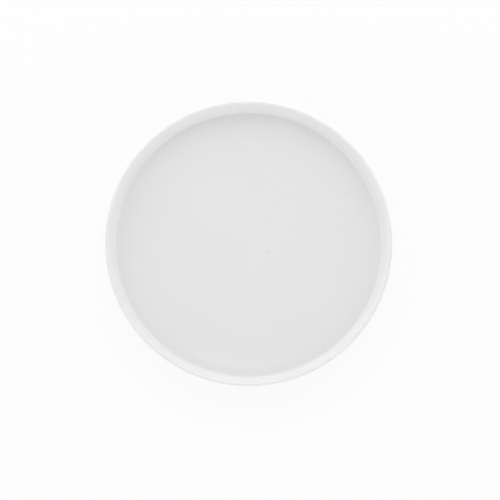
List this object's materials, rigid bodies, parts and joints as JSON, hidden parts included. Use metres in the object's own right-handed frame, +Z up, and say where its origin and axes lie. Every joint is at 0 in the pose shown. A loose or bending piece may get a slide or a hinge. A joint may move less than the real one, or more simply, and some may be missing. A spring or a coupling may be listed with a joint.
{
  "type": "candle plate",
  "caption": "Low round candle plate of white glazed stoneware with a flat well and a narrow raised rim, on felt pads glued inside its foot ring.",
  "frame": {"origin": "on the table, under the middle of the plate", "axes": "+Z up along the plate's axis of turning, +X to the right and +Y away from the viewer in the picture"},
  "size_m": [0.14, 0.14, 0.0141],
  "materials": {
    "white_glaze": "satin",
    "felt": "matte",
    "adhesive": "satin"
  },
  "bodies": {
    "root": {"plate": "white_glaze", "felt_pad_1": "felt", "felt_pad_2": "felt", "felt_pad_3": "felt", "felt_pad_4": "felt", "adhesive_disc_1": "adhesive", "adhesive_disc_2": "adhesive", "adhesive_disc_3": "adhesive", "adhesive_disc_4": "adhesive"}
  },
  "joints": []
}
